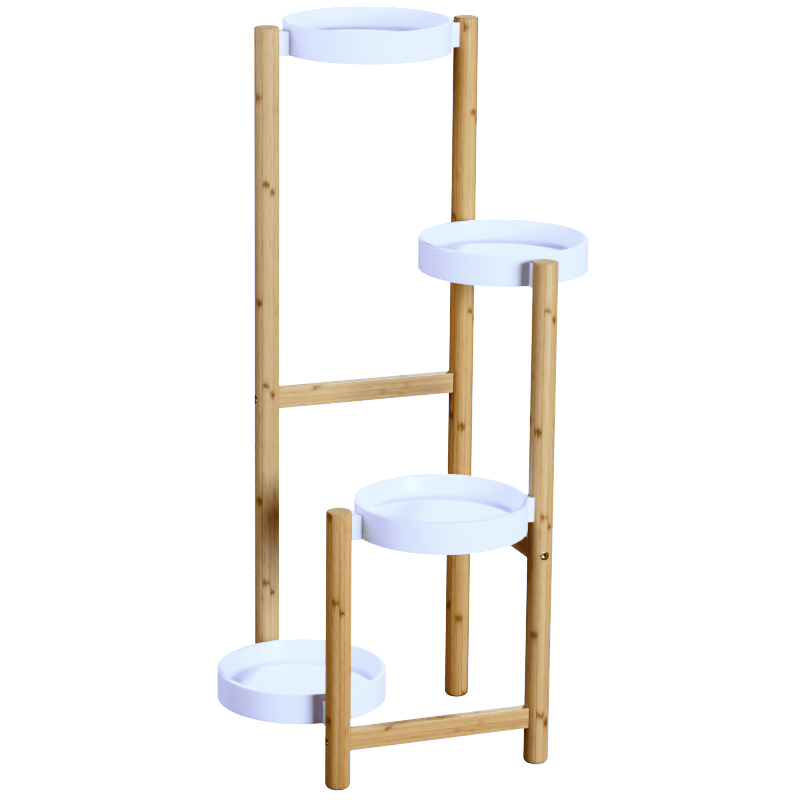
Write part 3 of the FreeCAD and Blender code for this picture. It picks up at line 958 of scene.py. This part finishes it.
insertSpec = {
    "bore": 3.05 * mm,
    "endRadius": 4.0 * mm,
    "crest": 4.3 * mm,
    "root": 3.95 * mm,
    "lead": 0.4 * mm,
    "pitch": 1.0 * mm,
    "length": 13.0 * mm,
    "steps": 40,
}


def makeInsert():
    # Sleeve along Z with its mouth at zero; a coarse outer thread is drawn as rings.
    spec = insertSpec
    bore, end, length, pitch = spec["bore"], spec["endRadius"], spec["length"], spec["pitch"]
    first = -length + spec["lead"]
    profile = [(bore, -length), (end, -length)]
    for k in range(round((length - 2 * spec["lead"]) / pitch)):
        profile += [(spec["crest"], first + k * pitch),
                    (spec["root"], first + (k + 0.5) * pitch)]
    profile += [(spec["crest"], -spec["lead"]), (end, 0.0), (bore, 0.0)]
    return newPiece("insertModel",
                    turnedMesh("insertModel", profile, spec["steps"], closed=True))


pegSpec = {
    "length": 20.0 * mm,
    "ease": 0.8 * mm,
    "easeSteps": 4,
    "steps": 40,
}


def makePeg(radius):
    # Peg along Z with its buried end at zero.
    ease, length, steps = pegSpec["ease"], pegSpec["length"], pegSpec["easeSteps"]
    profile = [(0, -length)] + arc(radius - ease, -length + ease, ease, -90, 0, steps)
    profile += arc(radius - ease, -ease, ease, 0, 90, steps) + [(0, 0)]
    return newPiece("pegModel", turnedMesh("pegModel", profile, pegSpec["steps"]))


def makePairTree():
    # Two like fasteners on one line, facing away from each other.
    graph, given = geometryTree("fastenerPair", [
        ("Fastener", "NodeSocketObject"), ("Middle", "NodeSocketVector"),
        ("Half Spacing", "NodeSocketFloat"), ("Along", "NodeSocketVector"),
        ("Material", "NodeSocketMaterial")])
    reach = graph.add("ShaderNodeVectorMath", {"operation": "SCALE"}, in0=given["Along"],
                      Scale=given["Half Spacing"]).outputs[0]
    line = graph.add("GeometryNodeMeshLine", {"mode": "END_POINTS"}, Count=2,
                     Offset=graph.vector("SUBTRACT", given["Middle"], reach))
    graph.feed(line, "Start Location", graph.vector("ADD", given["Middle"], reach))
    position = graph.add("GeometryNodeInputPosition").outputs[0]
    facing = graph.add("FunctionNodeAlignRotationToVector", {"axis": "Z"},
                       Vector=graph.vector("SUBTRACT", position, given["Middle"]))
    model = graph.add("GeometryNodeObjectInfo", {"transform_space": "ORIGINAL"},
                      Object=given["Fastener"])
    return endTree(graph, line.outputs["Mesh"], model.outputs["Geometry"],
                   facing.outputs["Rotation"], given["Material"])


def setOutPairs(tree, model, rows, ending, inset, material):
    # A pair of the model for each rail or tray, its zero inset from the node's two ends.
    smoothShade(model.data)
    for name, along in rows.items():
        node = f"{name}_{ending}"
        side = sideOf[along]
        low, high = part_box(node)
        piece = runTree(camelName(node), tree, {
            "Fastener": model, "Middle": (low + high) / 2,
            "Half Spacing": (high[side] - low[side]) / 2 - inset,
            "Along": directions[along], "Material": material})
        finishPiece(piece, material, standFrame, node)
    discard(model)


def buildFasteners():
    tree = makePairTree()
    setOutPairs(tree, makeBolt(), rails, "rail_bolts", joinery["headHeight"], zincSteel)
    setOutPairs(tree, makeInsert(), rails, "rail_inserts", 0.0, plainBrass)
    low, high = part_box("top_tray_pegs")
    setOutPairs(tree, makePeg((high.z - low.z) / 2), trays, "tray_pegs", 0.0, zincSteel)
    print("fasteners built")


# Trays

traySpec = {
    "radius": 100.0 * mm,
    "height": 37.0 * mm,
    "wall": 2.5 * mm,
    "rimWidth": 5.0 * mm,
    "rimSolid": 4.0 * mm,
    "rimRound": 1.4 * mm,
    "rimInnerRound": 0.9 * mm,
    "floorLevel": 14.0 * mm,
    "slope": 6.5 * mm,
    "cove": 5.0 * mm,
    "edgeRound": 0.7 * mm,
    # points of two small rounds underneath, from the corners that they take off
    "underCorner": [(-1.6 * mm, 0.0), (-0.5 * mm, 0.3 * mm), (0.3 * mm, 1.4 * mm)],
    "gutter": [(-0.7 * mm, -1.6 * mm), (-0.35 * mm, -0.7 * mm), (0.0, -1.4 * mm)],
    "skirtRows": (20.0 * mm, 8.0 * mm),
    "steps": 256,
    "edgeSteps": 4,
    "rimSteps": 8,
    "lipSteps": 6,
    "wallSteps": 5,
    "coveSteps": 10,
    "floorRings": 5,
    "outsideRings": 6,
    "smoothAngle": 32,
    "ribCount": 8,
    "ribThickness": 2.0 * mm,
    "ribRecess": 3.0 * mm,
    "lugHeight": 29.0 * mm,
    "lugHalfWidth": 9.5 * mm,
    "lugWall": 2.2 * mm,
    "lugEndWall": 2.8 * mm,
    "lugGap": 0.4 * mm,
    "lugEase": 0.8 * mm,
    "lugEaseSteps": 3,
    "lugEaseAngle": 40,
    "saddleSteps": 160,
    "roomSteps": 8,
    "pegRise": 20.0 * mm,
    "slotHalf": 3.3 * mm,
    "slotMouth": 5.3 * mm,
    "slotMouthHeight": 4.0 * mm,
    "slotSteps": 12,
    "cutterPast": 2.0 * mm,  # how far the cutters reach below the tray
    "postAt": 125.0 * mm,
    "postRadius": 15.0 * mm,
}


def trayShellMesh():
    # Skirt, rim, sloped dish wall and floor in one turned section.
    spec = traySpec
    outer, top, wall = spec["radius"], spec["height"], spec["wall"]
    ease, rim, lip, cove = (spec["edgeRound"], spec["rimRound"], spec["rimInnerRound"],
                            spec["cove"])
    inner = outer - spec["rimWidth"]
    foot = inner - spec["slope"]
    floor = spec["floorLevel"]
    under = floor - wall
    lean = math.degrees(math.atan2(top - floor, spec["slope"]))  # dish wall above level

    # underneath, from the middle out to the skirt, and up its outside
    rings = spec["outsideRings"]
    profile = [(0, under)] + [(foot * k / rings, under) for k in range(1, rings)]
    profile += [(foot + wall + across, under + up) for across, up in spec["underCorner"]]
    profile += [(outer - wall + across, top - spec["rimSolid"] + up)
                for across, up in spec["gutter"]]
    profile += [(outer - wall, level) for level in spec["skirtRows"]]
    profile += arc(outer - wall + ease, ease, ease, 180, 270, spec["edgeSteps"])
    profile += arc(outer - ease, ease, ease, 270, 360, spec["edgeSteps"])
    profile += [(outer, k * top / rings) for k in range(1, rings)]
    profile += arc(outer - rim, top - rim, rim, 0, 90, spec["rimSteps"])
    # inner edge of the rim, round to the slope of the dish wall
    profile += arc(inner + lip, top - lip, lip, 90, 90 + lean, spec["lipSteps"])

    # cove where the dish wall runs into the floor
    slopeEnd = Vector(profile[-1])
    down = -Vector((math.cos(math.radians(lean)), math.sin(math.radians(lean))))
    corner = Vector((slopeEnd.x + down.x * (floor - slopeEnd.y) / down.y, floor))
    tangent = cove / math.tan(math.radians((180 - lean) / 2))
    coveStart = corner - down * tangent
    steps = spec["wallSteps"]
    profile += [tuple(slopeEnd.lerp(coveStart, k / steps)) for k in range(1, steps)]
    profile += arc(corner.x - tangent, floor + cove, cove, lean - 90, -90, spec["coveSteps"])
    last, rings = profile[-1][0], spec["floorRings"]
    profile += [(last * (rings - k) / rings, floor) for k in range(1, rings)] + [(0, floor)]
    return turnedMesh("trayShell", profile, spec["steps"])


def makeLug(turned):
    # One hollow lug: block, post-shaped end, room and keyhole slot, edges eased.
    spec = traySpec
    half, top, postAt = spec["lugHalfWidth"], spec["lugHeight"], spec["postAt"]
    below = -spec["cutterPast"]
    root = spec["radius"] - spec["wall"] / 2
    tip = postAt - spec["postRadius"] / 2
    saddle = spec["postRadius"] + spec["lugGap"]
    outline = [(root, -half), (tip, -half), (tip, half), (root, half)]
    lug = prism("lug", [(x, y, 0) for x, y in outline], [(x, y, top) for x, y in outline])
    carve(lug, [rod("saddleCutter", saddle, (postAt, 0, below), (postAt, 0, spec["height"]),
                    spec["saddleSteps"])])
    easeEdges(lug, spec["lugEase"], spec["lugEaseSteps"], spec["lugEaseAngle"])

    # the room inside, between the skirt and the end wall
    inside = half - spec["lugWall"]
    reach = saddle + spec["lugEndWall"]
    steps = spec["roomSteps"]
    rows = [inside * (2 * k / steps - 1) for k in range(steps + 1)]
    outline = [(math.sqrt(spec["radius"] ** 2 - y * y), y) for y in rows]
    outline += [(postAt - math.sqrt(reach ** 2 - y * y), y) for y in reversed(rows)]
    room = prism("lugRoom", [(x, y, below) for x, y in outline],
                 [(x, y, top - spec["lugWall"]) for x, y in outline])

    # keyhole slot through the end wall
    narrow, wide = spec["slotHalf"], spec["slotMouth"]
    mouth = [(wide, below), (wide, 0), (narrow, spec["slotMouthHeight"])]
    outline = mouth + arc(0, spec["pegRise"], narrow, 0, 180, spec["slotSteps"])
    outline += [(-y, z) for y, z in reversed(mouth)]
    slot = prism("slotCutter", [(spec["radius"] + spec["wall"], y, z) for y, z in outline],
                 [(postAt, y, z) for y, z in outline])
    carve(lug, [room, slot])
    if turned:
        lug.data.transform(Matrix.Rotation(math.pi, 4, "Z"))
    return lug


def makeRibTree():
    # Ribs round the middle of the tray's underside, like spokes.
    graph, given = geometryTree("ribSpokes", [
        ("Count", "NodeSocketInt"), ("Length", "NodeSocketFloat"),
        ("Thickness", "NodeSocketFloat"), ("Height", "NodeSocketFloat"),
        ("Level", "NodeSocketFloat"), ("Material", "NodeSocketMaterial")])
    size = graph.add("ShaderNodeCombineXYZ", in0=given["Length"], in1=given["Thickness"],
                     in2=given["Height"])
    bar = graph.add("GeometryNodeMeshCube", Size=size.outputs[0])
    halfHeight = graph.math("MULTIPLY", given["Height"], 0.5)
    place = graph.add("ShaderNodeCombineXYZ", in0=graph.math("MULTIPLY", given["Length"], 0.5),
                      in2=graph.math("ADD", given["Level"], halfHeight))
    moved = graph.add("GeometryNodeTransform", in0=bar.outputs["Mesh"],
                      Translation=place.outputs[0])
    hub = graph.add("GeometryNodePoints", Count=given["Count"])
    index = graph.add("GeometryNodeInputIndex").outputs[0]
    turn = graph.math("MULTIPLY", graph.math("DIVIDE", index, given["Count"]), 2 * math.pi)
    angles = graph.add("ShaderNodeCombineXYZ", in2=turn)
    return endTree(graph, hub.outputs[0], moved.outputs[0], angles.outputs[0],
                   given["Material"])


def buildTrays():
    spec = traySpec
    model = newPiece("trayModel", trayShellMesh())
    # the ribs run out to the foot of the dish wall, and up to the middle of the floor
    top = spec["floorLevel"] - spec["wall"] / 2
    ribs = runTree("trayRibs", makeRibTree(), {
        "Count": spec["ribCount"], "Length": spec["radius"] - spec["rimWidth"] - spec["slope"],
        "Thickness": spec["ribThickness"], "Height": top - spec["ribRecess"],
        "Level": spec["ribRecess"], "Material": whitePlastic})
    carve(model, [makeLug(False), makeLug(True)], "UNION")
    for tray, along in trays.items():
        node = f"{tray}_tray"
        low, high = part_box(node)
        centre = (low + high) / 2
        place = Matrix.Translation((centre.x, centre.y, low.z))
        if along == "y":
            place = place @ Matrix.Rotation(math.pi / 2, 4, "Z")
        joined = bmesh.new()
        joined.from_mesh(model.data)
        joined.from_mesh(ribs.data)
        joined.transform(place)
        piece = newPiece(camelName(node), meshFrom(camelName(node), joined))
        finishPiece(piece, whitePlastic, f"{node}_body", node,
                    spec["smoothAngle"])
    discard(model)
    discard(ribs)
    print("trays built")


buildStudio()
buildPosts()
buildRails()
buildFasteners()
buildTrays()

print("scene ready")
